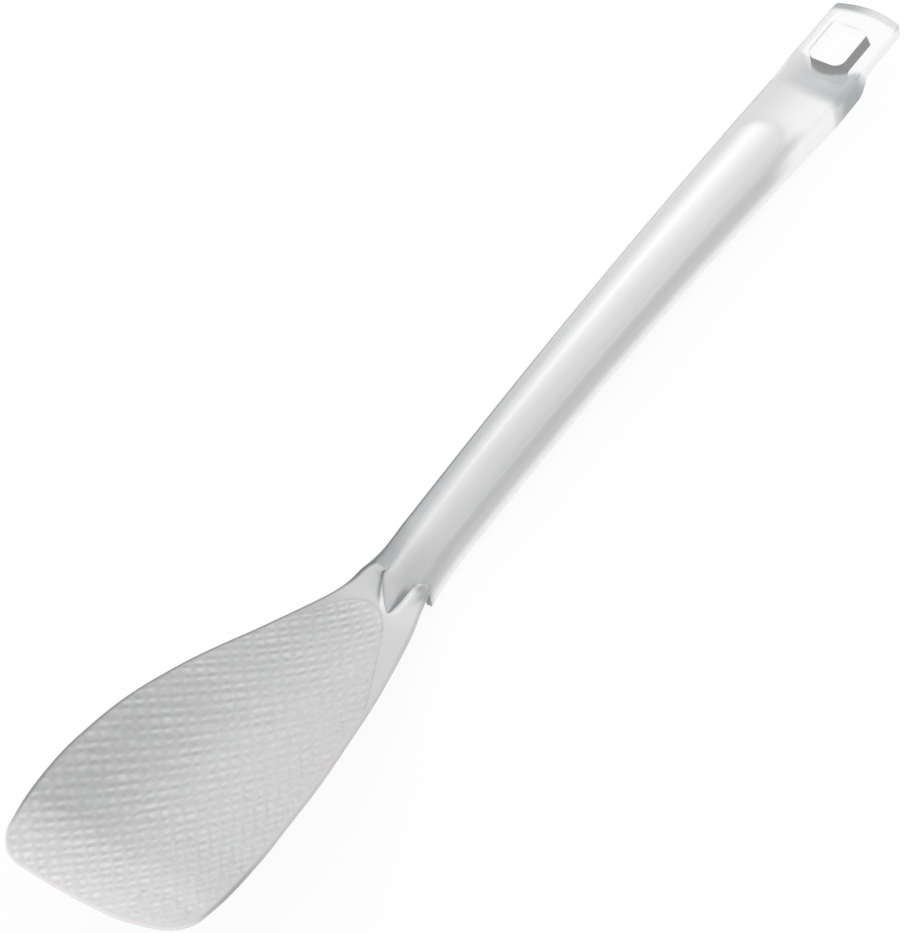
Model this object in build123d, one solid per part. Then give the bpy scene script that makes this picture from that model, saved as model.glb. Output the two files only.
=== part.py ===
"""A long rice paddle: a dished blade with a tang, a two-shell hollow handle and a clear hanging tab.

The paddle lies along Y with its blade at -Y. Z is up, and Z = 0 is the surface that it lies on.
X = 0 is its plane of symmetry, and Y = 0 is the middle of its length.
"""
import os

from build123d import *

# Overall lengths along Y, in millimetres.
overall_length = 353.0
blade_length = 126.5
tab_length = 35.5

# Blade: a thin sheet, dished across its width, that rises from the neck towards its tip.
blade_width = 63.2
blade_thickness = 2.2
blade_rise = 18.7
bowl_depth = 4.6
tip_corner_width = 10.0
tip_corner_length = 8.6
tip_bulge = 0.8
edge_margin = 1.5

# Handle: two shells round a hollow, arched a little along its length.
handle_depth = 8.0
neck_half_width = 8.9
waist_half_width = 8.2
end_half_width = 10.8
handle_arch = 3.4
top_edge_radius = 1.6
front_wall = 1.7
back_wall = 1.6
shell_gap = 0.1

# Crown: the raised round rib along the handle's face, with a pointed tongue at the neck.
crown_half_width_at_neck = 5.8
crown_half_width_at_nose = 7.2
crown_height_at_neck = 2.2
crown_height = 3.2
crown_climb_length = 40.0
crown_nose_from_tab = 12.0
crown_root = 1.0
tongue_length = 10.5
tongue_tip_half_width = 1.1
tongue_tip_height = 1.2

# Tang: the bar that runs from the blade into the handle, and what holds it there.
tang_length = 45.0
tang_half_width = 5.4
tang_clearance = 0.1
clamp_rib_length = 2.4
peg_radius = 2.0
peg_clearance = 0.12
neck_gap = 0.12

# Rest pads under the handle, which bring both its ends down to the surface.
pad_height = 0.4
pad_length = 10.0
pad_inset = 2.0

# Hanging tab: a thick root against the shells, a thinner plate and a plug in the hollow.
tab_thickness = 3.5
tab_half_width = 10.4
tab_end_bulge = 2.2
tab_corner_radius = 1.8
root_length = 12.0
plug_length = 12.0
plug_clearance = 0.12
hole_width = 12.4
hole_length = 15.6
hole_from_end = 8.4
hole_near_radius = 4.5
hole_far_radius = 2.0

# Overrun of every cut past the solid that it cuts.
cut_over = 5.0

# Places and levels that follow. The tang's upper face at the neck lies midway in the hollow.
tip_y = -overall_length / 2
neck_y = tip_y + blade_length
tab_end_y = overall_length / 2
shell_end_y = tab_end_y - tab_length
handle_mid_y = (neck_y + shell_end_y) / 2
hollow_low = pad_height + back_wall
hollow_high = pad_height + handle_depth - front_wall
neck_level = (hollow_low + hollow_high + blade_thickness) / 2

# Blade stations: place from tip to neck as a share of the blade's length, then the half width
# as a share of the widest, the rim's height as a share of the rise, the dish as a share of its
# depth, and the thickness as a share of the sheet's.
blade_station_shares = [
    (-0.016, 0.981, 0.963, 0.17, 0.65),
    (0.152, 0.995, 1.000, 0.80, 0.90),
    (0.352, 0.968, 0.950, 1.00, 1.00),
    (0.552, 0.825, 0.695, 0.91, 1.00),
    (0.752, 0.595, 0.310, 0.57, 1.00),
    (0.872, 0.435, 0.145, 0.44, 1.00),
    (1.000, 0.282, 0.120, 0.49, 1.00),
]

# Flank of the blade in plan, from its tip corner to the neck: place and half width, as above.
flank_start_share = 0.935
flank_shares = [(0.13, 0.973), (0.216, 1.0), (0.432, 0.921), (0.672, 0.69), (0.864, 0.425)]

# Handle stations from neck to tab, and the stretch where the neck's flare runs out, as shares of
# the shells' length. The power says how late along its length the handle widens.
handle_station_shares = [0, 0.03, 0.07, 0.2, 0.35, 0.5, 0.65, 0.8, 0.9, 1.0]
flare_share = 0.09
widening_power = 1.7

# Stations along the crown up to its nose, as shares of that stretch.
crown_station_shares = [0, 0.12, 0.24, 0.4, 0.6, 0.8, 1]

# Stations along the tang and the places of the ribs that clamp it, as shares of its length.
tang_station_shares = [0, 0.25, 0.5, 0.75, 1]
clamp_rib_shares = [0.12, 0.88]

# Half width of the tongue at its middle, as a share of the crown's at the neck.
tongue_middle_share = 0.66

# Distance from a rounded corner to the middle of its arc, as a share of its radius.
arc_middle_share = 1 - 0.5**0.5


def arch_rise(y):
    """Height that the handle's arch adds at y: a parabola from neck to tab."""
    half = (shell_end_y - neck_y) / 2
    along = (y - handle_mid_y) / half
    return handle_arch * max(0, 1 - along**2)


def handle_low(y):
    return pad_height + arch_rise(y)


def handle_high(y):
    return handle_low(y) + handle_depth


def handle_stations():
    """Places along the shells and the outer half width at each."""
    stations = []
    for share in handle_station_shares:
        flare = (neck_half_width - waist_half_width) * max(0, 1 - share / flare_share) ** 2
        widening = (end_half_width - waist_half_width) * share**widening_power
        y = neck_y + share * (shell_end_y - neck_y)
        stations.append((y, waist_half_width + flare + widening))
    return stations


def section(y, points, arc_middles):
    """Face across the paddle at y through (x, z) points, with an arc where a middle is given."""
    edges = []
    for index, start in enumerate(points):
        end = points[(index + 1) % len(points)]
        middle = arc_middles.get(index)
        a, b = (start[0], y, start[1]), (end[0], y, end[1])
        if middle:
            edges.append(ThreePointArc(a, (middle[0], y, middle[1]), b))
        else:
            edges.append(Line(a, b))
    return Face(Wire(edges))


def band_section(y, half, low, high):
    """Plain rectangle across the paddle."""
    return section(y, [(-half, low), (half, low), (half, high), (-half, high)], {})


def segment_section(y, half, low, foot, top):
    """Round-topped section: straight sides up to the foot and one arc over them."""
    points = [(-half, low), (half, low), (half, foot), (-half, foot)]
    return section(y, points, {2: (0, top)})


def side_box(half, y_from, y_to, low, high):
    """Block that is symmetric in X."""
    size = (2 * half, y_to - y_from, high - low)
    return Pos(0, (y_from + y_to) / 2, (low + high) / 2) * Box(*size)


def blade_sheet(lift, depth):
    """Dished sheet wider than the blade, raised by lift and depth thick where its share is 1."""
    faces = []
    for place, width, rise, dish, thickness in blade_station_shares:
        y = tip_y + place * blade_length
        half = width * blade_width / 2 + edge_margin
        rim = neck_level + rise * blade_rise + lift
        middle = rim - dish * bowl_depth
        down = thickness * depth
        points = [(-half, rim - down), (half, rim - down), (half, rim), (-half, rim)]
        faces.append(section(y, points, {0: (0, middle - down), 2: (0, middle)}))
    return loft(faces)


def blade_plan():
    """Outline of the blade seen from above, extruded through the whole sheet."""
    half = blade_width / 2
    start = flank_start_share * half
    corner_y = tip_y + tip_bulge
    flank = [(start, corner_y + tip_corner_length)]
    for place, width in flank_shares:
        flank.append((width * half, tip_y + place * blade_length))
    flank.append((neck_half_width, neck_y - neck_gap))
    flat = start - tip_corner_width
    corner = TangentArc((flat, corner_y), flank[0], tangent=(1, 0))
    right = [corner, Spline(*flank)]
    left = [edge.mirror(Plane.YZ) for edge in right]
    tip = ThreePointArc((-flat, corner_y), (0, tip_y), (flat, corner_y))
    neck = Line(flank[-1], (-flank[-1][0], flank[-1][1]))
    outline = Face(Wire([tip, *right, neck, *left]))
    height = neck_level + blade_rise + cut_over
    return extrude(outline, height)


def make_tang():
    """Flat bar along the handle's hollow, following its arch."""
    faces = []
    for share in tang_station_shares:
        y = neck_y + share * tang_length
        top = neck_level + arch_rise(y)
        faces.append(band_section(y, tang_half_width, top - blade_thickness, top))
    root_y = neck_y - 2 * blade_thickness
    root = side_box(tang_half_width, root_y, neck_y, neck_level - blade_thickness, neck_level)
    return loft(faces) + root


def peg_y():
    return neck_y + tang_length / 2


def make_blade():
    blade = blade_sheet(0, blade_thickness) & blade_plan()
    blade += make_tang()
    hole = Cylinder(peg_radius + peg_clearance, handle_depth)
    return blade - Pos(0, peg_y(), neck_level + arch_rise(peg_y())) * hole


def shell_outer():
    """Outside of the handle's box section, with rounded upper edges."""
    faces = []
    for y, half in handle_stations():
        low, high = handle_low(y), handle_high(y)
        r = top_edge_radius
        near = r * arc_middle_share
        points = [(-half, low), (half, low), (half, high - r), (half - r, high)]
        points += [(r - half, high), (-half, high - r)]
        arcs = {2: (half - near, high - near), 4: (near - half, high - near)}
        faces.append(section(y, points, arcs))
    return loft(faces)


def shell_hollow():
    """Space under the front shell, open at the bottom and at both ends."""
    faces = []
    for y, half in handle_stations():
        high = handle_high(y) - front_wall
        faces.append(band_section(y, half - front_wall, -cut_over, high))
    return loft(faces)


def crown_half_width(y):
    """Half width of the crown, widening evenly from neck to nose."""
    share = (y - neck_y) / (shell_end_y - crown_nose_from_tab - neck_y)
    return crown_half_width_at_neck + share * (crown_half_width_at_nose - crown_half_width_at_neck)


def crown_top(y):
    """Height of the crown over the shell, climbing from the neck and then level."""
    share = min(1, (y - neck_y) / crown_climb_length)
    return crown_height_at_neck + share * (crown_height - crown_height_at_neck)


def crown_form(inset, y_from, root):
    """Round rib on the handle's face with a round nose; an inset makes the hollow inside it."""
    nose_tip = shell_end_y - crown_nose_from_tab
    nose_y = nose_tip - crown_half_width_at_nose
    faces = []
    for share in crown_station_shares:
        y = y_from + share * (nose_y - y_from)
        high = handle_high(y)
        half = crown_half_width(y) - inset
        faces.append(segment_section(y, half, high - root, high - inset, high + crown_top(y) - inset))
    half = crown_half_width(nose_y) - inset
    high = handle_high(nose_y)
    low, foot, top = high - root, high - inset, high + crown_height - inset
    radius = (half**2 + (top - foot) ** 2) / (2 * (top - foot))
    middle_x = half / 2
    middle_z = top - radius + (radius**2 - middle_x**2) ** 0.5
    profile = Face(Wire([
        Line((0, nose_y, low), (half, nose_y, low)),
        Line((half, nose_y, low), (half, nose_y, foot)),
        ThreePointArc((half, nose_y, foot), (middle_x, nose_y, middle_z), (0, nose_y, top)),
        Line((0, nose_y, top), (0, nose_y, low)),
    ]))
    nose = revolve(profile, Axis((0, nose_y, 0), (0, 0, 1)), 180)
    return loft(faces), nose


def make_tongue():
    """Pointed end of the crown that lies on the blade's neck."""
    high = handle_high(neck_y)
    tip_high = neck_level + tongue_tip_height
    start_top = high + crown_height_at_neck
    low = neck_level - blade_thickness
    start = segment_section(neck_y, crown_half_width_at_neck, low, high, start_top)
    middle_y = neck_y - tongue_length / 2
    middle = segment_section(
        middle_y,
        tongue_middle_share * crown_half_width_at_neck,
        low,
        (high + tip_high) / 2,
        (start_top + tip_high) / 2 + tongue_tip_height / 2,
    )
    tip = segment_section(
        neck_y - tongue_length,
        tongue_tip_half_width,
        low,
        tip_high - tongue_tip_height / 4,
        tip_high,
    )
    tongue = loft([start, middle, tip])
    return tongue - blade_sheet(neck_gap, handle_depth)


def clamp_rib_places():
    """Places of the cross ribs that hold the tang from above and below."""
    return [neck_y + tang_length * share for share in clamp_rib_shares]


def make_handle_front():
    shell = shell_outer()
    crown, nose = crown_form(0, neck_y, crown_root)
    shell += crown
    shell += nose
    shell -= shell_hollow()
    inner, inner_nose = crown_form(front_wall, neck_y + front_wall, front_wall + crown_root)
    shell -= inner
    shell -= inner_nose
    shell += make_tongue()
    for y in clamp_rib_places():
        far = y + clamp_rib_length / 2
        low = neck_level + arch_rise(far) + tang_clearance
        high = handle_high(y) - front_wall / 2
        half = waist_half_width - front_wall / 2
        shell += side_box(half, y - clamp_rib_length / 2, far, low, high)
    return shell


def make_handle_back():
    """Plate that closes the hollow from below, with rest pads, clamp ribs and the tang's peg."""
    faces = []
    for y, half in handle_stations():
        inner = half - front_wall - shell_gap
        faces.append(band_section(y, inner, handle_low(y), handle_low(y) + back_wall))
    back = loft(faces)
    for y in (neck_y + pad_inset, shell_end_y - pad_inset - pad_length):
        half = waist_half_width - front_wall - pad_inset
        high = max(handle_low(y), handle_low(y + pad_length)) + back_wall / 2
        back += side_box(half, y, y + pad_length, 0, high)
    for y in clamp_rib_places():
        near = y - clamp_rib_length / 2
        high = neck_level + arch_rise(near) - blade_thickness - tang_clearance
        low = handle_low(y) + back_wall / 2
        back += side_box(tang_half_width, near, near + clamp_rib_length, low, high)
    low = handle_low(peg_y()) + back_wall / 2
    peg = Cylinder(
        peg_radius,
        neck_level + arch_rise(peg_y()) - low,
        align=(Align.CENTER, Align.CENTER, Align.MIN),
    )
    return back + Pos(0, peg_y(), low) * peg


def tab_plan():
    """Outline of the tab and its root seen from above, with a bowed end."""
    corner_y = tab_end_y - tab_end_bulge
    outline = Face(Wire([
        Line((-end_half_width, shell_end_y), (end_half_width, shell_end_y)),
        Line((end_half_width, shell_end_y), (tab_half_width, corner_y)),
        ThreePointArc((tab_half_width, corner_y), (0, tab_end_y), (-tab_half_width, corner_y)),
        Line((-tab_half_width, corner_y), (-end_half_width, shell_end_y)),
    ]))
    plan = extrude(outline, handle_high(shell_end_y))
    far = plan.edges().filter_by(Axis.Z).group_by(Axis.Y)[-1]
    return fillet(far, tab_corner_radius)


def tab_side():
    """Outline of the tab seen from its side: deep root, round lower corner, thinner plate."""
    low, high = handle_low(shell_end_y), handle_high(shell_end_y)
    under = high - tab_thickness
    root_y = shell_end_y + root_length
    r = handle_depth - tab_thickness
    near = r * arc_middle_share
    over = end_half_width + cut_over
    outline = Face(Wire([
        Line((over, shell_end_y, low), (over, root_y - r, low)),
        ThreePointArc((over, root_y - r, low), (over, root_y - near, low + near), (over, root_y, under)),
        Line((over, root_y, under), (over, tab_end_y, under)),
        Line((over, tab_end_y, under), (over, tab_end_y, high)),
        Line((over, tab_end_y, high), (over, shell_end_y, high)),
        Line((over, shell_end_y, high), (over, shell_end_y, low)),
    ]))
    return extrude(outline, 2 * over, dir=(-1, 0, 0))


def hang_hole():
    """Rounded rectangle through the tab, with larger corners on the handle's side."""
    far_y = tab_end_y - hole_from_end
    middle_y = far_y - hole_length / 2
    hole = Pos(0, middle_y, 0) * Box(hole_width, hole_length, 2 * handle_high(shell_end_y) + cut_over)
    upright = hole.edges().filter_by(Axis.Z).group_by(Axis.Y)
    hole = fillet(upright[0], hole_near_radius)
    upright = hole.edges().filter_by(Axis.Z).group_by(Axis.Y)
    return fillet(upright[-1], hole_far_radius)


def make_hanging_tab():
    tab = tab_plan() & tab_side()
    upper = tab.edges().group_by(Axis.Z)[-1].filter_by(lambda edge: edge.center().Y > shell_end_y)
    tab = fillet(upper, top_edge_radius / 2)
    tab -= hang_hole()
    faces = []
    for share in (1.0, 0.5, 0.0):
        y = shell_end_y - share * plug_length
        half = crown_half_width_at_nose
        low = handle_low(y) + back_wall + plug_clearance
        faces.append(band_section(y, half, low, handle_high(y) - front_wall - plug_clearance))
    return tab + loft(faces)


os.makedirs("parts", exist_ok=True)
pieces = {
    "blade": make_blade(),
    "handle_front": make_handle_front(),
    "handle_back": make_handle_back(),
    "hanging_tab": make_hanging_tab(),
}
for name, piece in pieces.items():
    export_step(piece, f"parts/{name}.step")
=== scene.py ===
import math

import bpy
import numpy as np
from mathutils import Matrix


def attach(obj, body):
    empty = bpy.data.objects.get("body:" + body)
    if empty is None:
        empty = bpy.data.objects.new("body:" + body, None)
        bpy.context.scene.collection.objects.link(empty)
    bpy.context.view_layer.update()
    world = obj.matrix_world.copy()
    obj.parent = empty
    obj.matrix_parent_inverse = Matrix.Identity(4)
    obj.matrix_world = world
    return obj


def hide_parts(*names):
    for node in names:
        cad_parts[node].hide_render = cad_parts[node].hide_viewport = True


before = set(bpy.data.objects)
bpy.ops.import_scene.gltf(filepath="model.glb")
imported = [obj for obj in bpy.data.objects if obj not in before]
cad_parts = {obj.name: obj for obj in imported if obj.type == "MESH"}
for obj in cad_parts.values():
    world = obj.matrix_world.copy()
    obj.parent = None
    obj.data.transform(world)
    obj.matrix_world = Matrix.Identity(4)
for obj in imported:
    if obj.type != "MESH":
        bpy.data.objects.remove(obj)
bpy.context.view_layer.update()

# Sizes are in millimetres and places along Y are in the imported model's frame, until a mesh is made.
MILLIMETRE = 0.001

# Places along the paddle.
tip_y = -176.48
neck_y = -50.0
shell_end_y = 141.0
tab_end_y = 176.48
blade_length = neck_y - tip_y
handle_mid_y = (neck_y + shell_end_y) / 2

# Blade.
blade_width = 63.14
sheet_margin = 1.5
blade_thickness = 2.2
thin_rim_share = 0.3
thin_rim_reach = 6.0
blade_rise = 18.7
bowl_depth = 4.6
neck_level = 5.45
tip_bulge = 0.8
corner_width = 10.0
corner_length = 8.6
blade_end_y = -47.0
blade_end_half_width = 8.3
blade_neck_half_width = 9.6
rim_round = 0.75
flank_start_share = 0.935
flank_shares = np.array([
    (0.13, 0.975), (0.216, 1.0), (0.27, 0.999), (0.324, 0.982), (0.432, 0.935), (0.56, 0.829),
    (0.672, 0.71), (0.77, 0.583), (0.864, 0.455), (0.944, 0.353),
])
neck_shift = 0.6
neck_shift_y = -60.0
neck_shift_reach = 8.0
right_neck_shift = 0.6
right_neck_shift_y = -70.0
right_neck_shift_reach = 14.0
right_corner_lift = 2.2
station_shares = np.array([
    (-0.016, 0.981, 0.963, 0.17, 0.65),
    (0.152, 0.995, 1.000, 0.80, 0.90),
    (0.352, 0.968, 0.950, 1.00, 1.00),
    (0.552, 0.825, 0.695, 0.91, 1.00),
    (0.752, 0.595, 0.310, 0.57, 1.00),
    (0.872, 0.435, 0.145, 0.44, 1.00),
    (1.000, 0.282, 0.120, 0.49, 1.00),
])

# Raised dots on the blade: a square lattice set on its corners.
dot_repeat = 4.5
dot_height = 0.24
dot_field_inset = 0.5
dot_fade = 1.2
dot_border_x = -2.0
dot_border_y = -59.3
dot_border_bow = 0.088
dot_border_straight = 10.0
# Painted light and shade on the dots: lighter tops, darker gaps and a darker side on each dot, as if lit.
dot_mean = 0.35
dot_contrast_left = 0.25
dot_contrast_right = 0.15
dot_slope_reach = (-0.35, 0.65)
dot_plain_share = 0.5
dot_slope_share = 0.75
blade_grid = 0.42

# Handle.
handle_low_at_ends = 0.4
handle_depth = 8.0
handle_arch = 3.4
neck_half_width = 9.6
waist_half_width = 8.2
end_half_width = 10.8
flare_share = 0.11
flare_power = 2.6
widening_power = 1.7
edge_round = 1.6
shell_wall = 1.7

# Crown along the handle's face and its tongue on the neck.
crown_half_at_neck = 5.6
crown_half_at_nose = 7.2
crown_rise_at_neck = 2.0
crown_rise = 3.2
crown_climb = 40.0
crown_power = 1.3
crown_power_at_neck = 1.9
crown_softened = 35.0
nose_tip_y = 127.0
neck_blend = 15.0
tongue_half_width = 4.3
tongue_tip_half_width = 0.6
tongue_length = 10.4
tongue_tip_rise = 0.6
tongue_root_x = 0.5
tongue_lean = 3.5
tongue_sunk = 0.5
# Painted shade in the notches beside the tongue: x, y, reach in x, reach in y and weight.
notches = ((-3.7, -50.8, 1.6, 1.0, 0.5), (7.2, -50.1, 2.2, 1.5, 0.42), (9.6, -52.4, 1.6, 2.4, 0.4))
hook_start = 0.5
hook_slant = 0.15
hook_reach = 0.55

# Hanging tab.
tab_half_width = 10.4
tab_root_half_width = 10.77
tab_start_y = 138.4
tab_start_round = 2.3
tab_end_bulge = 2.2
tab_corner = 1.8
tab_thickness = 3.5
tab_round = 0.6
root_round = 1.6
root_end_y = 155.5
hole_centre_x = -1.55
hole_half_width = 5.45
hole_near_y = 153.3
hole_far_y = 168.0
hole_near_round = 2.8
hole_far_round = 1.1
hole_draft = 1.0


def smooth_step(start, end, value):
    """Even rise from 0 at start to 1 at end: 3 t^2 - 2 t^3 of the share t of the way."""
    t = np.clip((value - start) / (end - start), 0, 1)
    return t * t * (3 - 2 * t)


def blend(first, second, share):
    return first + (second - first) * share


def smooth_through(places, values, at):
    """Cubic curve through (place, value) pairs, with each inner slope taken from its neighbours."""
    places, values, at = (np.asarray(a, float) for a in (places, values, at))
    slopes = np.gradient(values, places)
    k = np.clip(np.searchsorted(places, at) - 1, 0, len(places) - 2)
    span = places[k + 1] - places[k]
    t = np.clip((at - places[k]) / span, 0, 1)
    rise = values[k + 1] - values[k]
    start, end = slopes[k] * span - rise, rise - slopes[k + 1] * span
    return values[k] + t * rise + t * (1 - t) * ((1 - t) * start + t * end)


def arch_rise(y):
    """Parabola that lifts the handle's middle: arch times 1 less the squared share from the middle."""
    half = (shell_end_y - neck_y) / 2
    return handle_arch * np.clip(1 - ((y - handle_mid_y) / half) ** 2, 0, 1)


def handle_low(y):
    return handle_low_at_ends + arch_rise(y)


def handle_high(y):
    return handle_low(y) + handle_depth


def handle_half_width(y):
    """Waist plus a flare that dies out from the neck and a widening that grows towards the tab."""
    share = np.clip((y - neck_y) / (shell_end_y - neck_y), 0, 1)
    flare = (neck_half_width - waist_half_width) * np.clip(1 - share / flare_share, 0, 1) ** flare_power
    return waist_half_width + flare + (end_half_width - waist_half_width) * share**widening_power


def blade_share(y):
    return (y - tip_y) / blade_length


def blade_top(x, y):
    """Dished face: middle level plus (rim less middle) times the squared share of the half width."""
    share = blade_share(y)
    places = station_shares[:, 0]
    half, rim, dish = (smooth_through(places, station_shares[:, k], share) for k in (1, 2, 3))
    half = half * blade_width / 2 + sheet_margin
    rim = neck_level + rim * blade_rise
    return rim - dish * bowl_depth * (1 - (x / half) ** 2)


def blade_sheet_thickness(y, inside):
    """Station thickness, thinned by a share that dies out from the rim inwards and towards the neck."""
    along = blade_thickness * smooth_through(station_shares[:, 0], station_shares[:, 4], blade_share(y))
    thinned = thin_rim_share * (1 - smooth_step(0, thin_rim_reach, inside)) * (1 - smooth_step(-80, -62, y))
    return along * (1 - thinned)


def painted_notch_shade(x, y):
    """Strength of the painted shade in the small notches beside the tongue's root, each falling off as a bell curve.
    """
    return sum(weight * np.exp(-(((x - at_x) / wide) ** 2) - ((y - at_y) / deep) ** 2)
               for at_x, at_y, wide, deep, weight in notches)


def new_piece(name, vertices, faces, point_values, face_values=None):
    """Mesh object from millimetre vertices and a list of faces, with its values for the materials."""
    mesh = bpy.data.meshes.new(name)
    mesh.from_pydata((np.asarray(vertices) * MILLIMETRE).tolist(), [], faces)
    for domain, group in (("POINT", point_values), ("FACE", face_values or {})):
        for key, values in group.items():
            layer = mesh.attributes.new(key, "FLOAT", domain)
            layer.data.foreach_set("value", np.asarray(values).reshape(-1).astype(np.float32))
    mesh.shade_smooth()
    piece = bpy.data.objects.new(name, mesh)
    bpy.context.scene.collection.objects.link(piece)
    return piece


def grid_faces(index):
    """Quads between neighbouring rows and columns of a grid of vertex numbers."""
    quads = np.stack([index[:-1, :-1], index[:-1, 1:], index[1:, 1:], index[1:, :-1]], -1)
    return quads.reshape(-1, 4)


def blade_outline():
    """Right half of the blade's edge from the tip's middle to the neck, at even steps along it.

    The tip is a shallow parabola, the corner an arc, and the flank a smooth curve of width over y."""
    half = blade_width / 2
    start = flank_start_share * half
    flat = start - corner_width
    corner_y = tip_y + tip_bulge
    radius = (corner_width**2 + corner_length**2) / (2 * corner_length)
    x = np.linspace(0, flat, 200)
    tip = np.stack([x, tip_y + tip_bulge * (x / flat) ** 2], -1)
    turn = np.linspace(0, math.acos(1 - corner_length / radius), 120)
    corner = np.stack([flat + radius * np.sin(turn), corner_y + radius * (1 - np.cos(turn))], -1)
    places = [corner_y + corner_length, *(tip_y + flank_shares[:, 0] * blade_length), neck_y, blade_end_y]
    widths = [start, *(flank_shares[:, 1] * half), blade_neck_half_width, blade_end_half_width]
    y = np.linspace(places[0], places[-1], 900)
    flank = np.stack([smooth_through(places, widths, y), y], -1)
    edge = np.concatenate([tip[:-1], corner[:-1], flank])
    along = np.concatenate([[0], np.cumsum(np.linalg.norm(np.diff(edge, axis=0), axis=1))])
    even = np.linspace(0, along[-1], int(along[-1] / blade_grid) + 1)
    return np.stack([np.interp(even, along, edge[:, k]) for k in (0, 1)], -1)


def dots(x, y):
    """Height share of the raised dots: product of (1 + cos) / 2 along the lattice's two directions.

    Dot centres lie near places where (x + y) and (x - y) are both whole numbers of repeats. Powers
    of both close the lattice up towards the tip, the neck and the right. Short waves push the dots
    a little off, and a share from the sine of each dot's two numbers lowers some."""
    past, beside = x - y - 115, x + y + 125
    across = (x + y + 0.07 * x + 0.006 * np.clip(x, 0, None) ** 2) / dot_repeat
    along = (0.95 * past + 0.00005 * past**3 + 0.0012 * beside**2) / dot_repeat
    across = across + 0.1 * np.sin(0.9 * x + 1.3 * y)
    along = along + 0.1 * np.sin(1.1 * x - 0.8 * y)
    profile = (0.5 + 0.5 * np.cos(2 * math.pi * across)) * (0.5 + 0.5 * np.cos(2 * math.pi * along))
    number = 12.9898 * np.round(across) + 78.233 * np.round(along)
    lowered = np.abs(np.sin(number)) * 0.5
    return profile**0.75 * (1 - lowered)


def half_blade_grid(edge, inner_count):
    """Rings from the edge to the centre line: first round the rim, then straight across.

    Gives places (row, ring, xy), the rim's height share and the distance inside the edge."""
    step = np.gradient(edge, axis=0)
    step /= np.linalg.norm(step, axis=1, keepdims=True)
    inward = np.stack([-step[:, 1], step[:, 0]], -1)
    share = np.linspace(0, 1, len(edge))
    centre = np.stack([0 * share, (tip_y + 20) * (1 - share) + blade_end_y * share], -1)
    turn = np.linspace(0, math.pi / 2, 6)
    inset = rim_round * (1 - np.cos(turn))
    rim = edge[:, None] + inward[:, None] * inset[None, :, None]
    part = np.linspace(0, 1, inner_count + 1)[1:, None]
    inner = rim[:, -1][:, None] * (1 - part) + centre[:, None] * part
    places = np.concatenate([rim, inner], 1)
    height = np.concatenate([np.sin(turn), np.ones(inner_count)])
    height = np.broadcast_to(height, places.shape[:2])
    inside = np.einsum("rcx,rx->rc", places - edge[:, None], inward)
    return places, height, inside


def whole_blade_grid(edge, inner_count):
    """The half grid mirrored in X and joined to itself along the centre line."""
    places, height, inside = half_blade_grid(edge, inner_count)
    places = np.concatenate([places * (-1, 1), places[:, -2::-1]], 1)
    height, inside = (np.concatenate([a, a[:, -2::-1]], 1) for a in (height, inside))
    return places, height, inside


def tongue_centre(y):
    """Middle of the tongue, which leans towards +X more and more over its length."""
    share = np.clip((neck_y - y) / tongue_length, 0, 1)
    return tongue_root_x + tongue_lean * share**1.3


def tongue_half(y):
    """Half width of the tongue: a bowed taper, rounded off over its last few tenths."""
    share = np.clip((neck_y - y) / tongue_length, 0, 1)
    return blend(tongue_half_width, tongue_tip_half_width, share**1.5) * np.sqrt(1 - share**12)


def blade_lightness(x, y, inside):
    """Painted light and shade on the blade: the dish's left side greyer, the tip lighter, lighter on the neck, a
    painted highlight beside the tongue, a painted shadow along the hook and painted dark edges.
    """
    # Painted shade: the dish's left side greyer; painted light towards the tip.
    left_tone = blend(0.475, 0.515, smooth_step(-125, -98, y))
    light = blend(left_tone, 0.55, smooth_step(-22, 8, x))
    light = blend(light, 0.62, smooth_step(-155, -166, y))
    light = blend(light, 0.68, smooth_step(-166, -175, y))
    light = blend(light, 0.68, smooth_step(-68, -57, y) * 0.75)
    left_of, right_of = (side * (x - tongue_centre(y)) - tongue_half(y) for side in (-1, 1))
    hook_at = hook_start + hook_slant * (neck_y - y)
    beside = (1 - smooth_step(hook_at - 0.6, hook_at, left_of)) * (left_of > right_of)
    beside = beside + (1 - smooth_step(0.9, 2.6, right_of)) * (right_of >= left_of)
    # Painted highlight on the blade beside the tongue.
    light = blend(light, 0.95, beside * smooth_step(neck_y - tongue_length - 1.2, -58.5, y) * 0.85)
    # Painted shadow line along the hook left of the tongue.
    hook = np.exp(-(((left_of - hook_at) / hook_reach) ** 2)) * (left_of > right_of)
    light = blend(light, 0.26, hook * smooth_step(-59, -56, y) * 0.85)
    # Painted dark edge shade along the rim, turning lighter at the tip.
    rim = blend(0.58, 0.84, smooth_step(-164, -170, y))
    light = blend(light, rim, 1 - smooth_step(0.2, 0.8, inside))
    # Painted dark edge shade at the right corner and along the left flank.
    right_corner = smooth_step(10, 20, x) * np.exp(-(((y + 156) / 9) ** 2))
    light = blend(light, 0.40, (1 - smooth_step(0.3, 1.0, inside)) * right_corner)
    left_flank = (1 - smooth_step(-4, 2, x)) * smooth_step(-172, -158, y)
    at_neck = smooth_step(-60, -54, y)
    line = 1 - smooth_step(0.45 + 0.25 * at_neck, 1.3 + 0.4 * at_neck, inside)
    light = blend(light, blend(0.2, 0.15, at_neck), line * left_flank * 0.95)
    return light * (1 - painted_notch_shade(x, y))


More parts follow.
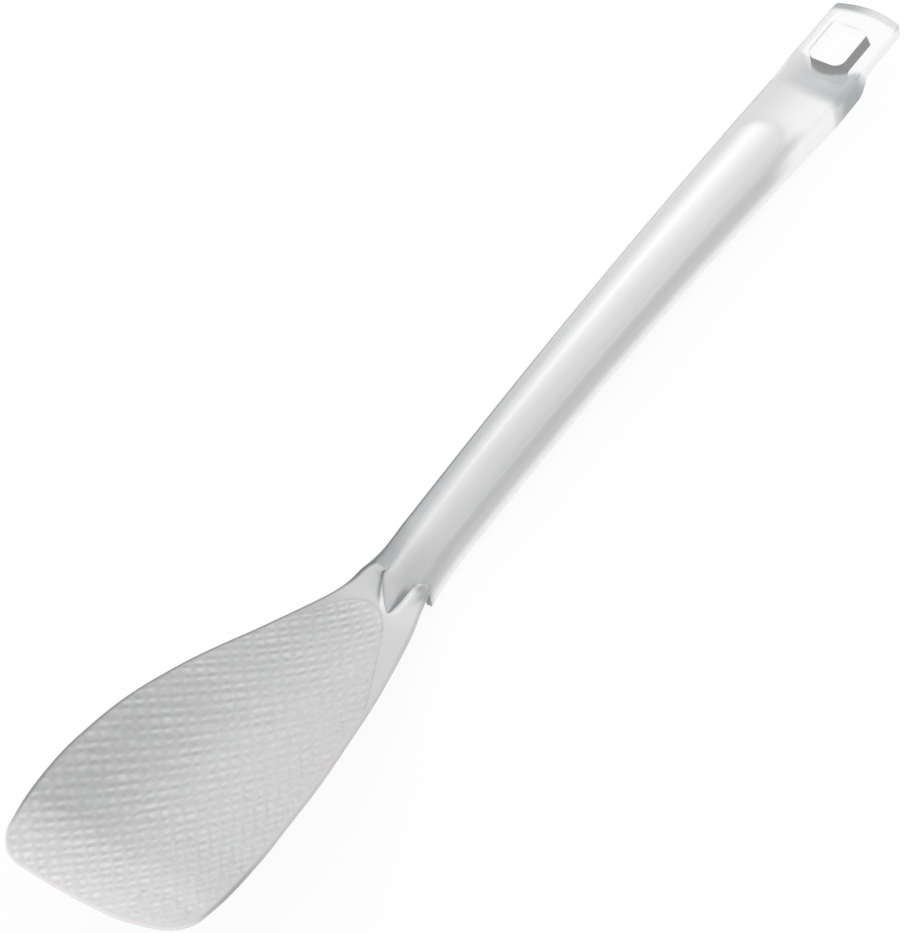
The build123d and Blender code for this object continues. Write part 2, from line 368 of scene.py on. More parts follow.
def make_blade():
    """Dished sheet with a round rim; its upper grid carries the dots, its lower one is plain.

    Level = middle of the sheet plus or minus half its thickness times the rim's height share."""
    edge = blade_outline()
    upper_count, lower_count = 60, 20
    rim_steps, ratio = 5, upper_count // lower_count
    vertices, faces, light, dotted, last_rows = [], [], [], [], []
    first_free = 0
    for side, inner_count in ((1, upper_count), (-1, lower_count)):
        places, height, inside = whole_blade_grid(edge, inner_count)
        x, y = places[..., 0], places[..., 1]
        on_right = right_neck_shift * smooth_step(0, 8, x)
        x = x + neck_shift * np.exp(-(((y - neck_shift_y) / neck_shift_reach) ** 2))
        x = x + on_right * np.exp(-(((y - right_neck_shift_y) / right_neck_shift_reach) ** 2))
        y = y + right_corner_lift * smooth_step(8, 27, x) * (1 - smooth_step(-176, -158, y))
        thickness = blade_sheet_thickness(y, inside)
        level = blade_top(x, y) - blade_sheet_thickness(y, inside + thin_rim_reach) / 2
        level = level + side * height * thickness / 2
        aside = np.abs(x - dot_border_x)
        bowed = np.minimum(aside, dot_border_straight)
        border = dot_border_y - dot_border_bow * bowed * (2 * aside - bowed)
        cover = smooth_step(dot_field_inset, dot_field_inset + dot_fade, inside)
        cover = cover * smooth_step(0, dot_fade, border - y)
        shade = 0.62 + 0 * x
        if side > 0:
            raised = dots(x, y)
            level = level + dot_height * cover * raised
            # Painted light and shade of the dots goes into the lightness: lit tops, dark gaps, a shaded side on each
            # dot, and a thin darker line along the field's border.
            contrast = blend(dot_contrast_left, dot_contrast_right, smooth_step(-22, 10, x))
            step_x, step_y = dot_slope_reach
            painted_slope_shade = dots(x - step_x, y - step_y) - dots(x + step_x, y + step_y)
            painted_relief_shade = dot_plain_share * (raised - dot_mean) + dot_slope_share * painted_slope_shade
            border_line = 0.14 * np.exp(-(((border - y - 0.2) / 0.45) ** 2)) * smooth_step(0.5, 1.5, inside)
            shade = blade_lightness(x, y, inside) * (1 + contrast * cover * painted_relief_shade) * (1 - border_line)
        index = first_free + np.arange(x.size).reshape(x.shape)
        first_free += x.size
        faces.append(grid_faces(index if side > 0 else index[:, ::-1]))
        last_rows.append(index[-1])
        vertices.append(np.stack([x, y, level], -1).reshape(-1, 3))
        light.append(shade.reshape(-1))
        dotted.append((cover * (side > 0)).reshape(-1))
    vertices = np.concatenate(vertices)
    _, first, number = np.unique(np.round(vertices / 0.002).astype(np.int64), axis=0,
                                 return_index=True, return_inverse=True)
    number = number.reshape(-1)
    upper, lower = last_rows
    inner = np.arange(2 * lower_count)
    over = np.stack([upper[rim_steps + inner * ratio + k] for k in range(ratio + 1)], -1)
    under = np.stack([lower[rim_steps + inner + 1], lower[rim_steps + inner]], -1)
    low_right, high_right = lower[-rim_steps - 1:], upper[-rim_steps - 1:]
    rims = [(upper[:rim_steps + 1], lower[:rim_steps + 1]), (high_right, low_right)]
    caps = [np.stack([a[:-1], a[1:], b[1:], b[:-1]], -1) for a, b in rims]
    closing = [face for face in number[np.concatenate(caps)].tolist() if len(set(face)) == 4]
    closing += [list(dict.fromkeys(face)) for face in number[np.concatenate(caps)].tolist() if len(set(face)) == 3]
    closing += number[np.concatenate([over, under], 1)].tolist()
    values = {"lightness": np.concatenate(light)[first], "dotted": np.concatenate(dotted)[first]}
    return new_piece("blade_sheet", vertices[first], number[np.concatenate(faces)].tolist() + closing, values)


def crown_half_width(y):
    """Even widening from neck to nose."""
    share = np.clip((y - neck_y) / (nose_tip_y - neck_y), 0, 1)
    return crown_half_at_neck + share * (crown_half_at_nose - crown_half_at_neck)


def flange_level(x, y):
    """Flat face of the shell, which sinks to the blade's dished neck over the last few millimetres."""
    sink = 1 - smooth_step(neck_y, neck_y + neck_blend, y)
    flat = handle_high(y)
    return flat + sink * (np.minimum(blade_top(x, neck_y + 0 * y) - 0.05, flat) - flat)


def crown_profile(x, y):
    """Share of the crown's rise: 1 less the squared share across, to a power that grows at the neck.

    Past the nose's centre the share is radial, so the crown ends round."""
    past = np.clip(y - (nose_tip_y - crown_half_at_nose), 0, None)
    share = np.clip(np.hypot(x / crown_half_width(y), past / crown_half_at_nose), 0, 1)
    near = 1 - smooth_step(neck_y, neck_y + crown_softened, y)
    return (1 - share**2) ** blend(crown_power, crown_power_at_neck, near)


def shell_level(x, y):
    """Flange plus the crown's profile times its rise, which climbs over the first few centimetres."""
    climb = np.clip((y - neck_y) / crown_climb, 0, 1)
    top = handle_high(y) + crown_rise_at_neck + climb * (crown_rise - crown_rise_at_neck)
    return flange_level(x, y) + (top - flange_level(0 * x, y)) * crown_profile(x, y)


def shell_section(y, inset):
    """Section of the shell's outside, or of its inside when inset by the wall, as rows of x and z.

    It runs up the left wall, round the edge, over the face and crown, and down the right wall.
    The third result is the share up the wall, and 2 on the face."""
    half, low = handle_half_width(y) - inset, handle_low(y)
    rounding = blend(rim_round, edge_round, smooth_step(neck_y, neck_y + neck_blend, y))
    rounding = np.maximum(rounding - inset, 0.3)
    turn = np.linspace(0, math.pi / 2, 6)[None, 1:-1]
    wall = np.linspace(0, 1, 9)[None, :]
    span = np.sin(np.linspace(-math.pi / 2, math.pi / 2, 97))[None, :]
    face_x = (half - rounding) * span
    face_z = shell_level(face_x, y) - inset
    edge_z = face_z[:, -1:] - rounding
    wall_x, wall_z = half + 0 * wall, low + wall * (edge_z - low)
    round_x = half - rounding * (1 - np.cos(turn))
    round_z = edge_z + rounding * np.sin(turn)
    x = np.concatenate([-wall_x, -round_x, face_x, round_x[:, ::-1], wall_x], 1)
    z = np.concatenate([wall_z, round_z, face_z, round_z[:, ::-1], wall_z[:, ::-1]], 1)
    up = np.concatenate([wall, 1 + turn / math.pi, 0 * span + 2, 1 + turn[:, ::-1] / math.pi, wall[:, ::-1]], 1)
    return x, z, np.broadcast_to(up, x.shape)


def end_lightness(x, y):
    """Face on both sides of the parting: pale milky, then greyer where the plastic turns clear."""
    pale = blend(0.66, 0.84, smooth_step(-9, 7, x))
    grey = 0.555 + 0.14 * (1 - smooth_step(-10.5, -3, x)) - 0.06 * smooth_step(1, 10.5, x)
    return blend(pale, grey, smooth_step(138.5, 143.5, y + 0.15 * np.minimum(x, 3)))


def shell_lightness(x, y, z, up):
    """Painted light and shade on the shell: grey flanges and a crown with a painted highlight along its top, both
    lighter towards the tab; the right wall is painted lighter downwards, as light through thin plastic, and the left
    wall is plain.

    The crown's right foot is painted a little lighter, the left edge carries a thin painted dark edge line, and
    painted shade lies along the left edge near the neck."""
    along = smooth_step(-60, 110, y)
    profile = crown_profile(x, y) ** 1.6
    flange = 0.48 + along * blend(0.165, 0.08, smooth_step(-4, 5, x))
    # Painted highlight: the crown's top lighter than its flanks, fading near the neck.
    crest = blend(blend(0.62, 0.71, smooth_step(-48, -34, y)), 0.90, along)
    face = blend(flange, crest, profile)
    # Painted light at the crown's right foot.
    foot = (x - 0.88 * crown_half_width(y)) / blend(2.2, 1.3, x > 0.88 * crown_half_width(y))
    face = face * (1 + 0.27 * np.exp(-(foot**2)))
    face = blend(face, end_lightness(x, y), smooth_step(119, 130, y))
    height = z - handle_low(y)
    # Painted light on the right wall, lighter downwards as light comes through the thin plastic.
    wall = blend(1.0, 0.58, smooth_step(0.2, 5.2, height))
    wall = blend(wall, 1.0, smooth_step(106, 124, y))
    wall = blend(wall, 0.68, smooth_step(138, shell_end_y, y))
    wall = np.where(x < 0, 0.64, wall)
    light = np.where(up >= 2, face, np.where(up <= 1, wall, blend(wall, face, np.clip(2 * up - 2, 0, 1))))
    # Painted dark edge line on the left rounding.
    on_round = (up > 1) * (up < 2) * (x < 0) * (1 - smooth_step(1.34, 1.56, up))
    light = blend(light, blend(0.12, 0.52, smooth_step(-56, 76, y)), on_round * 0.95)
    # Painted shade along the left edge near the neck, and a darker painted line right at it.
    inwards = handle_half_width(y) + x
    beside = (up >= 2) * (1 - smooth_step(1.4, 2.8, inwards)) * (1 - smooth_step(-35, 15, y))
    light = blend(light, 0.34, beside * 0.35)
    at_neck = (up >= 2) * (1 - smooth_step(0.7, 1.7, inwards)) * (1 - smooth_step(-47, -36, y))
    light = blend(light, 0.15, at_neck * 0.85)
    return light * (1 - painted_notch_shade(x, y))


def make_handle_shell():
    """Outer and inner section carried along the handle, closed along the lower edges and at both ends.

    At the neck the inner section drops below the blade's face, so the wall closes the mouth."""
    fine = [np.arange(neck_y, neck_y + 20, 0.5), np.arange(neck_y + 20, 116, 1.5)]
    fine += [np.arange(116, 138, 0.4), np.linspace(138, shell_end_y, 9)]
    y = np.concatenate(fine)[:, None]
    outer_x, outer_z, up = shell_section(y, 0.0)
    inner_x, inner_z, _ = shell_section(y, shell_wall)
    mouth = blade_top(inner_x[0], neck_y) - 1.0
    inner_z[0] = np.where(up[0] >= 2, np.minimum(inner_z[0], mouth), inner_z[0])
    count = outer_x.shape[1]
    x = np.concatenate([outer_x, inner_x[:, ::-1]], 1)
    z = np.concatenate([outer_z, inner_z[:, ::-1]], 1)
    light = np.concatenate([shell_lightness(outer_x, y, outer_z, up), 0 * inner_x + 0.6], 1)
    index = np.arange(x.size).reshape(x.shape)
    loop = np.concatenate([index, index[:, :1]], 1)
    sides = grid_faces(loop)
    caps = []
    for row, turned in ((0, True), (-1, False)):
        outer, inner = index[row, :count], index[row, count:][::-1]
        cap = np.stack([outer[:-1], outer[1:], inner[1:], inner[:-1]], -1)
        caps.append(cap[:, ::-1] if turned else cap)
    faces = np.concatenate([sides, *caps])
    end_face_shade = np.zeros(len(faces))
    # Painted shade on the mouth's end face: full under the crown, partial on the right wall, none on the left.
    at_mouth = np.where(up[0, :-1] >= 2, 1, 0.55 * (outer_x[0, :-1] > 0))
    end_face_shade[len(sides):len(sides) + len(caps[0])] = at_mouth
    vertices = np.stack([x, y + 0 * x, z], -1).reshape(-1, 3)
    return new_piece("handle_shell", vertices, faces.tolist(), {"lightness": light}, {"end_face_shade": end_face_shade})


def make_tongue():
    """Pointed end of the crown on the blade's neck: half width and rise fall towards a round tip.

    At its root it has the crown's own section and painted light and shade, so the two run into each other. Further
    out, level = blade's face plus the rise times (1 - share^3)^0.7 across. The underside is sunk in."""
    share = np.concatenate([[-0.08], np.sin(np.linspace(0, math.pi / 2, 40))])[:, None]
    y = neck_y - share * tongue_length
    forward = np.clip(share, 0, 1)
    half, centre = np.maximum(tongue_half(y), 0.03), tongue_centre(y)
    start = handle_high(neck_y) + crown_rise_at_neck - blade_top(0.0, neck_y) - 0.03
    rise = blend(start, tongue_tip_rise, forward**1.5) * np.sqrt(1 - forward**16)
    span = np.sin(np.linspace(-math.pi / 2, math.pi / 2, 41))[None, :]
    x = centre + half * span
    base = blade_top(x, np.minimum(y, neck_y) + 0 * x)
    as_crown = np.clip(1 - (x / crown_half_at_neck) ** 2, 0, 1) ** crown_power_at_neck
    pointed = np.clip(1 - np.abs(span) ** 3, 0, 1) ** 0.7
    profile = blend(as_crown, pointed, smooth_step(0, 0.8, forward))
    top, under = base + rise * profile, base - tongue_sunk
    # Painted light and shade on the tongue: lighter along its top, painted shade along its right side and a painted
    # dark line along its left foot.
    light = blend(0.46, 0.58, smooth_step(0.1, 0.7, profile))
    light = blend(light, 0.34, smooth_step(0.62, 0.92, span))
    light = blend(light, 0.38, smooth_step(0.72, 0.94, -span))
    root = shell_lightness(x, neck_y + 0 * x, top, 2 + 0 * x)
    light = blend(root, light * (1 - painted_notch_shade(x, y)), smooth_step(0, 0.4, forward))
    count = x.shape[1]
    loop_x = np.concatenate([x, x[:, ::-1]], 1)
    loop_z = np.concatenate([top, under[:, ::-1]], 1)
    light = np.concatenate([light, light[:, ::-1]], 1)
    index = np.arange(loop_x.size).reshape(loop_x.shape)
    loop = np.concatenate([index, index[:, :1]], 1)
    faces = [grid_faces(loop)[:, ::-1]]
    for row, turned in ((0, False), (-1, True)):
        over, below = index[row, :count], index[row, count:][::-1]
        cap = np.stack([over[:-1], over[1:], below[1:], below[:-1]], -1)
        faces.append(cap[:, ::-1] if turned else cap)
    vertices = np.stack([loop_x, y + 0 * loop_x, loop_z], -1).reshape(-1, 3)
    return new_piece("crown_tongue", vertices, np.concatenate(faces).tolist(), {"lightness": light})


def rounded_loop(half_near, half_far, near_y, far_y, near_round, far_round, bulge, side, corner):
    """Closed outline in plan, counted alike for hole and tab: sides of even steps and corner arcs.

    It starts at the near side's left end and runs with +X; the far side bows out by the bulge."""
    def arc(cx, cy, radius, start):
        turn = start + np.linspace(0, math.pi / 2, corner + 2)[1:-1]
        return np.stack([cx + radius * np.cos(turn), cy + radius * np.sin(turn)], -1)

    def run(a, b):
        t = np.linspace(0, 1, side)[:, None]
        return np.array(a) * (1 - t) + np.array(b) * t

    far = run((half_far - far_round, far_y), (far_round - half_far, far_y))
    far[:, 1] -= bulge * (far[:, 0] / half_far) ** 2
    corner_y = far[0, 1]
    near = run((near_round - half_near, near_y), (half_near - near_round, near_y))
    return np.concatenate([
        near,
        arc(half_near - near_round, near_y + near_round, near_round, -math.pi / 2),
        run((half_near, near_y + near_round), (half_far, corner_y - far_round)),
        arc(half_far - far_round, corner_y - far_round, far_round, 0),
        far,
        arc(far_round - half_far, corner_y - far_round, far_round, math.pi / 2),
        run((-half_far, corner_y - far_round), (-half_near, near_y + near_round)),
        arc(near_round - half_near, near_y + near_round, near_round, math.pi),
    ])


def outward_normals(loop):
    """Unit normals of a closed outline that runs anticlockwise: its direction turned right."""
    along = np.roll(loop, -1, axis=0) - np.roll(loop, 1, axis=0)
    along /= np.linalg.norm(along, axis=1, keepdims=True)
    return np.stack([along[:, 1], -along[:, 0]], -1)


def tab_low(y):
    """Underside: the root's full depth, a round lower corner, then the thinner plate."""
    radius = handle_depth - tab_thickness
    past = np.clip(y - (root_end_y - radius), 0, radius)
    inside_shell = 0.4 * (1 - smooth_step(shell_end_y - 0.6, shell_end_y, y))
    return handle_low_at_ends + inside_shell + radius - np.sqrt(radius**2 - past**2)


def root_share(x, y):
    """1 on the milky root, which ends at a line bowed round the hole's near side."""
    end = np.minimum(148.7 + 0.07 * (x - 0.8) ** 2, 153.6)
    return 1 - smooth_step(end - 0.7, end + 0.9, y)


def tab_face_looks(x, y):
    """Lightness and cover of the tab's face: milky root, clear pale plate, and painted shade in darker bands along the
    left and far edges.
    """
    # Painted shade: darker bands along the left and far edges.
    left = 1 - smooth_step(-10.3, -8.6, x)
    light, cover = blend(0.88, 0.66, left), blend(0.24, 0.34, left)
    far_y = tab_end_y - tab_end_bulge * (x / tab_half_width) ** 2
    far_left = 1 - smooth_step(-5.5, 2.5, x)
    far = smooth_step(-3.6, -2.0, y - far_y)
    light = blend(light, blend(0.60, 0.22, far_left), far)
    cover = blend(cover, blend(0.40, 0.60, far_left), far)
    root = root_share(x, y)
    return blend(light, end_lightness(x, y), root), blend(cover, 0.93, root)


def make_tab():
    """Plate with a hole as a closed ring: plan outlines of hole and tab, joined over and under.

    Each step round the section goes from the hole's wall over the face, down the outside and back.
    The hole's right wall leans outwards on its way down."""
    hole = rounded_loop(
        hole_half_width, hole_half_width, hole_near_y, hole_far_y, hole_near_round, hole_far_round, 0, 24, 9
    ) + (hole_centre_x, 0)
    outer = rounded_loop(
        tab_root_half_width, tab_half_width, tab_start_y, tab_end_y, tab_start_round, tab_corner, tab_end_bulge, 24, 9
    )
    into_hole, outwards = outward_normals(hole), outward_normals(outer)
    top = handle_low_at_ends + handle_depth - 0.01
    rounding = tab_round + (root_round - tab_round) * (1 - smooth_step(142, 152, outer[:, 1]))
    hole_rim = hole + into_hole * tab_round
    outer_rim = outer - outwards * rounding[:, None]
    plan, level, light, cover = [], [], [], []

    def ring(place, z, lightness, thickness):
        for rows, value in ((plan, place), (level, z), (light, lightness), (cover, thickness)):
            rows.append(value + 0 * (place if rows is plan else place[:, 0]))

    # The line paints a dark edge shade along the roundings of the hole and of the outside.
    def face_ring(place, z, line=0.0):
        lightness, thickness = tab_face_looks(place[:, 0], place[:, 1])
        thin_line = np.clip(line * smooth_step(149, 153, place[:, 1]), 0, 1)
        ring(place, z, blend(lightness, 0.45, thin_line), np.maximum(thickness, 0.6 * thin_line))

    # Painted dark reflection on the hole's right and near walls, with a lighter painted streak on the near wall.
    across = hole[:, 0] - hole_centre_x
    right = smooth_step(2.5, 4.5, across) * (1 - smooth_step(hole_far_y - 0.9, hole_far_y - 0.2, hole[:, 1]))
    near = 1 - smooth_step(hole_near_y + 0.9, hole_near_y + 2.6, hole[:, 1])
    dark = np.maximum(right, near)
    # Painted dark edge line on the hole's rim rounding, away from the dark walls; on the far side only near the
    # middle.
    far_line = smooth_step(hole_far_y - 1.0, hole_far_y - 0.2, hole[:, 1])
    plain_edge = (1 - dark) * blend(0.9, 0.6 * (1 - smooth_step(1, 4, np.abs(across))), far_line)
    low_plan = hole + np.stack([hole_draft * smooth_step(2.5, 4.5, across), 0 * across], -1)
    low_hole = tab_low(low_plan[:, 1])
    for share in np.linspace(0, 1, 10):
        z = low_hole + share * (top - tab_round - low_hole)
        painted_streak = 0.02 + 0.16 * near * math.sin(math.pi * share) ** 2
        ring(blend(low_plan, hole, share), z, blend(0.95, painted_streak, dark), blend(0.05, 0.97, dark))
    for angle in np.linspace(0, math.pi / 2, 6)[1:]:
        place = hole + into_hole * tab_round * (1 - math.cos(angle))
        face_ring(place, top - tab_round * (1 - math.sin(angle)), plain_edge * math.cos(angle) ** 0.5)
    for share in np.linspace(0, 1, 20)[1:-1]:
        face_ring(blend(hole_rim, outer_rim, share), top)
    # The painted edge line round the outside is fainter on the right side.
    right_side = smooth_step(6, 9, outer[:, 0]) * (1 - smooth_step(tab_end_y - 7, tab_end_y - 4, outer[:, 1]))
    for angle in np.linspace(math.pi / 2, 0, 6):
        place = outer - outwards * (rounding * (1 - math.cos(angle)))[:, None]
        line = math.sin(2 * angle) ** 0.5 if 0 < angle < 1.5 else 0.0
        face_ring(place, top - rounding * (1 - math.sin(angle)), line * blend(0.9, 0.25, right_side))
    low_outer = tab_low(outer[:, 1])
    for share in np.linspace(0, 1, 8)[1:]:
        in_root = 1 - smooth_step(150.5 + 2.5 * share, 154 + 2.5 * share, outer[:, 1])
        root_wall = blend(0.68, 0.42, smooth_step(shell_end_y, shell_end_y + 5, outer[:, 1]))
        z = blend(top - rounding, low_outer, share)
        ring(outer, z, blend(0.72, root_wall, in_root), blend(0.36, 0.95, in_root))
    for share in np.linspace(0, 1, 26)[1:-1]:
        place = blend(outer, low_plan, share)
        root = root_share(place[:, 0], place[:, 1] - 2)
        ring(place, tab_low(place[:, 1]), blend(0.95, 0.8, root), blend(0.08, 0.6, root))
    plan, level = np.stack(plan), np.stack(level)
    vertices = np.concatenate([plan, level[..., None]], -1)
    index = np.arange(level.size).reshape(level.shape)
    index = np.concatenate([index, index[:1]], 0)
    index = np.concatenate([index, index[:, :1]], 1)
    painted_hole_reflection = np.zeros(level.shape)
    painted_hole_reflection[:10] = dark
    values = {"lightness": np.stack(light), "cover": np.stack(cover), "painted_hole_reflection": painted_hole_reflection}
    return new_piece("hanging_plate", vertices.reshape(-1, 3), grid_faces(index)[:, ::-1].tolist(), values)


def shader_group(name, inputs, outputs):
    """Empty node group with the named sockets, and its two end nodes."""
    group = bpy.data.node_groups.new(name, "ShaderNodeTree")
    for key, kind, value in inputs:
        socket = group.interface.new_socket(key, in_out="INPUT", socket_type=kind)
        socket.default_value = value
    for key, kind in outputs:
        group.interface.new_socket(key, in_out="OUTPUT", socket_type=kind)
    return group, group.nodes.new("NodeGroupInput"), group.nodes.new("NodeGroupOutput")


def math_node(tree, operation, *values, clamp=False):
    node = tree.nodes.new("ShaderNodeMath")
    node.operation = operation
    node.use_clamp = clamp
    for slot, value in enumerate(values):
        if isinstance(value, (int, float)):
            node.inputs[slot].default_value = value
        else:
            tree.links.new(value, node.inputs[slot])
    return node.outputs[0]


def noise(tree, place, scale, detail):
    node = tree.nodes.new("ShaderNodeTexNoise")
    node.inputs["Detail"].default_value = detail
    tree.links.new(place, node.inputs["Vector"])
    if isinstance(scale, float):
        node.inputs["Scale"].default_value = scale
    else:
        tree.links.new(scale, node.inputs["Scale"])
    return node.outputs["Fac"]


def build_milky_melt():
    """Cloudy tone of moulded plastic from one lightness: darker places, most of them painted shade, get a painted cool
    tint.

    Colour = lightness x (1 + cloud x mottle) in each channel, less a cool share in red and green."""
    group, start, end = shader_group(
        "milky_melt",
        [("Lightness", "NodeSocketFloat", 0.8), ("Cloud", "NodeSocketFloat", 0.05),
         ("Cloud Scale", "NodeSocketFloat", 60.0), ("Gloss", "NodeSocketFloat", 0.3),
         ("Grain", "NodeSocketFloat", 0.0), ("Cool", "NodeSocketFloat", 0.3)],
        [("Color", "NodeSocketColor"), ("Roughness", "NodeSocketFloat"), ("Normal", "NodeSocketVector")],
    )
    place = group.nodes.new("ShaderNodeTexCoord").outputs["Object"]
    wide = noise(group, place, start.outputs["Cloud Scale"], 4.0)
    fine = noise(group, place, 900.0, 2.0)
    both = math_node(group, "ADD", math_node(group, "MULTIPLY", wide, 0.7), math_node(group, "MULTIPLY", fine, 0.3))
    swing = math_node(group, "MULTIPLY", math_node(group, "SUBTRACT", both, 0.5), start.outputs["Cloud"])
    light = math_node(group, "MULTIPLY", start.outputs["Lightness"], math_node(group, "MULTIPLY_ADD", swing, 2.0, 1.0))
    # Painted cool tint: the darker the lightness below 0.62, the more red and green are taken out.
    depth = math_node(group, "SUBTRACT", 0.62, start.outputs["Lightness"], clamp=True)
    cool = math_node(group, "MULTIPLY", depth, start.outputs["Cool"])
    join = group.nodes.new("ShaderNodeCombineColor")
    for channel, share in (("Red", 1.0), ("Green", 0.42), ("Blue", 0.05)):
        keep = math_node(group, "SUBTRACT", 1.0, math_node(group, "MULTIPLY", cool, share), clamp=True)
        group.links.new(math_node(group, "MULTIPLY", light, keep, clamp=True), join.inputs[channel])
    group.links.new(join.outputs[0], end.inputs["Color"])
    rough = math_node(group, "MULTIPLY", math_node(group, "SUBTRACT", wide, 0.5), 0.1)
    group.links.new(math_node(group, "ADD", start.outputs["Gloss"], rough, clamp=True), end.inputs["Roughness"])
    bump = group.nodes.new("ShaderNodeBump")
    bump.inputs["Distance"].default_value = 0.0003
    group.links.new(start.outputs["Grain"], bump.inputs["Strength"])
    group.links.new(fine, bump.inputs["Height"])
    group.links.new(bump.outputs[0], end.inputs["Normal"])
    return group


def material(name, **constants):
    """Material with a Principled shader whose plain values are set on its own sockets."""
    made = bpy.data.materials.new(name)
    made.use_nodes = True
    shader = made.node_tree.nodes["Principled BSDF"]
    for key, value in constants.items():
        shader.inputs[key.replace("_", " ")].default_value = value
    return made, made.node_tree, shader


def attribute(tree, name):
    node = tree.nodes.new("ShaderNodeAttribute")
    node.attribute_name = name
    return node.outputs["Fac"]


def lay_melt(tree, shader, group, lightness, **values):
    """Puts the cloudy plastic between a lightness and the shader."""
    node = tree.nodes.new("ShaderNodeGroup")
    node.node_tree = group
    if isinstance(lightness, float):
        node.inputs["Lightness"].default_value = lightness
    else:
        tree.links.new(lightness, node.inputs["Lightness"])
    for key, value in values.items():
        socket = node.inputs[key.replace("_", " ")]
        if isinstance(value, float):
            socket.default_value = value
        else:
            tree.links.new(value, socket)
    tree.links.new(node.outputs["Color"], shader.inputs["Base Color"])
    tree.links.new(node.outputs["Roughness"], shader.inputs["Roughness"])
    tree.links.new(node.outputs["Normal"], shader.inputs["Normal"])


def make_blade_finish(melt):
    """Milky sheet with a fine grain where the dots are."""
    made, tree, shader = material("milky_blade", IOR=1.5, Subsurface_Weight=0.2, Subsurface_Scale=0.002)
    grain = math_node(tree, "MULTIPLY", attribute(tree, "dotted"), 0.45)
    speckle = math_node(tree, "MULTIPLY_ADD", attribute(tree, "dotted"), 0.15, 0.05)
    lay_melt(tree, shader, melt, attribute(tree, "lightness"), Cloud=speckle, Cloud_Scale=650.0, Gloss=0.42,
             Grain=grain, Cool=0.15)
    return made


def make_handle_finish(melt):
    """Milky satin shell, with painted shade, dark and cool, on the end face that shows beside the tongue."""
    made, tree, shader = material("milky_handle", IOR=1.5, Subsurface_Weight=0.2, Subsurface_Scale=0.002)
    end_face_shade = attribute(tree, "end_face_shade")
    kept = math_node(tree, "MULTIPLY_ADD", end_face_shade, -0.6, 1.0)
    lightness = math_node(tree, "MULTIPLY", attribute(tree, "lightness"), kept)
    lay_melt(tree, shader, melt, lightness, Cloud=0.025, Cloud_Scale=40.0, Gloss=0.34, Grain=0.03, Cool=0.35)
    return made


def make_back_finish(melt):
    """Milky satin cover."""
    made, tree, shader = material("milky_back", IOR=1.5, Subsurface_Weight=0.2, Subsurface_Scale=0.002)
    lay_melt(tree, shader, melt, 0.72, Cloud=0.04, Cloud_Scale=50.0, Gloss=0.34, Grain=0.05, Cool=0.2)
    return made


def make_tab_finish(melt):
    """Clear plastic: how much it covers follows the tab's own values, from dense root to clear plate.

    The hole's right and near walls carry a painted dark reflection, shown only where they are seen through the plate,
    from their back."""
    made, tree, shader = material("clear_tab", IOR=1.49)
    through = tree.nodes.new("ShaderNodeNewGeometry").outputs["Backfacing"]
    direct = math_node(tree, "MULTIPLY", attribute(tree, "painted_hole_reflection"), math_node(tree, "SUBTRACT", 1.0, through))
    lightness = math_node(tree, "MAXIMUM", attribute(tree, "lightness"), math_node(tree, "MULTIPLY", direct, 0.6))
    lay_melt(tree, shader, melt, lightness, Cloud=0.03, Cloud_Scale=45.0, Gloss=0.28, Grain=0.02, Cool=0.7)
    kept = math_node(tree, "MULTIPLY_ADD", direct, -0.5, 1.0)
    tree.links.new(math_node(tree, "MULTIPLY", attribute(tree, "cover"), kept), shader.inputs["Alpha"])
    return made


def white_to_the_eye(tree, plain, glow, share):
    """Shader that is white for what the eye sees directly or in gloss and glass, and plain otherwise."""
    path = tree.nodes.new("ShaderNodeLightPath")
    seen = math_node(tree, "MAXIMUM", path.outputs["Is Camera Ray"], path.outputs["Is Glossy Ray"])
    seen = math_node(tree, "MAXIMUM", seen, path.outputs["Is Transmission Ray"])
    white = tree.nodes.new(glow)
    white.inputs["Color"].default_value = (1, 1, 1, 1)
    white.inputs["Strength"].default_value = 1.0
    mixed = tree.nodes.new("ShaderNodeMixShader")
    tree.links.new(math_node(tree, "MULTIPLY", seen, share), mixed.inputs[0])
    tree.links.new(plain.outputs[0], mixed.inputs[1])
    tree.links.new(white.outputs[0], mixed.inputs[2])
    return mixed.outputs[0]


def make_surroundings():
    """White world and a white floor that keeps a faint shadow."""
    world = bpy.data.worlds.new("studio")
    bpy.context.scene.world = world
    world.use_nodes = True
    tree = world.node_tree
    plain = tree.nodes["Background"]
    plain.inputs["Color"].default_value = (1, 1, 1, 1)
    plain.inputs["Strength"].default_value = 0.93
    tree.links.new(white_to_the_eye(tree, plain, "ShaderNodeBackground", 1.0), tree.nodes["World Output"].inputs["Surface"])
    mesh = bpy.data.meshes.new("table")
    reach = 3.0
    mesh.from_pydata([(-reach, -reach, 0), (reach, -reach, 0), (reach, reach, 0), (-reach, reach, 0)], [], [(0, 1, 2, 3)])
    table = bpy.data.objects.new("table", mesh)
    bpy.context.scene.collection.objects.link(table)
    made, tree, shader = material("table_white", Roughness=0.8)
    shader.inputs["Base Color"].default_value = (0.94, 0.94, 0.94, 1)
    tree.links.new(white_to_the_eye(tree, shader, "ShaderNodeEmission", 0.92), tree.nodes["Material Output"].inputs["Surface"])
    mesh.materials.append(made)


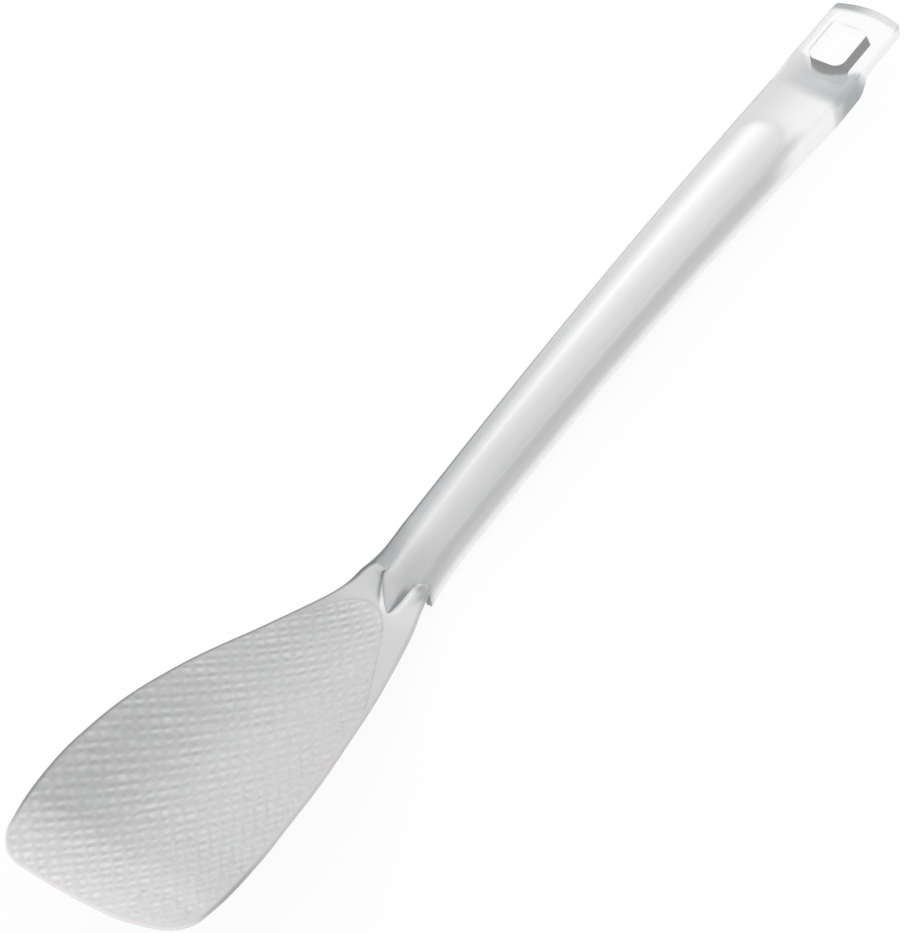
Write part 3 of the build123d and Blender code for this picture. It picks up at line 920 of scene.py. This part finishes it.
def lamp(name, toward, distance, size, power):
    """Square soft lamp in the given direction from the paddle, facing it."""
    data = bpy.data.lights.new(name, "AREA")
    data.size = size
    data.energy = power
    lamp_object = bpy.data.objects.new(name, data)
    toward = np.array(toward, float) / np.linalg.norm(toward)
    side = np.cross((0, 0, 1), toward)
    side /= np.linalg.norm(side)
    up = np.cross(toward, side)
    place = toward * distance
    lamp_object.matrix_world = Matrix([[side[k], up[k], toward[k], place[k]] for k in range(3)] + [[0, 0, 0, 1]])
    bpy.context.scene.collection.objects.link(lamp_object)


def make_camera():
    """Camera at the photograph's viewing angle: its own axes as columns, then its place in metres."""
    data = bpy.data.cameras.new("camera")
    data.sensor_fit = "HORIZONTAL"
    data.sensor_width = 36.0
    data.lens = 36.0 * 4700.0 / 907.0
    camera = bpy.data.objects.new("camera", data)
    right, up, back = (0.80718, 0.57147, -0.14793), (-0.35938, 0.67454, 0.64485), (0.46829, -0.46735, 0.74985)
    place = (0.5577, -0.5784, 0.9136)
    camera.matrix_world = Matrix([[right[k], up[k], back[k], place[k]] for k in range(3)] + [[0, 0, 0, 1]])
    bpy.context.scene.collection.objects.link(camera)
    bpy.context.scene.camera = camera


make_camera()
bpy.context.scene.view_settings.view_transform = "Standard"
make_surroundings()
lamp("key_lamp", (-0.66, 0.467, 0.59), 1.4, 0.55, 3.6)

melt = build_milky_melt()
blade_finish = make_blade_finish(melt)
handle_finish = make_handle_finish(melt)
back_finish = make_back_finish(melt)
tab_finish = make_tab_finish(melt)

for piece, finish, slot, nodes in (
    (make_blade(), blade_finish, "milky_blade", ["blade"]),
    (make_handle_shell(), handle_finish, "milky_handle", ["handle_front"]),
    (make_tongue(), handle_finish, "milky_handle", []),
    (make_tab(), tab_finish, "clear_tab", ["hanging_tab"]),
):
    piece.data.materials.append(finish)
    piece.data.set_sharp_from_angle(angle=math.radians(50))
    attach(piece, "root")
    if nodes:
        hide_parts(*nodes)

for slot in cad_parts["handle_back"].material_slots:
    slot.material = back_finish
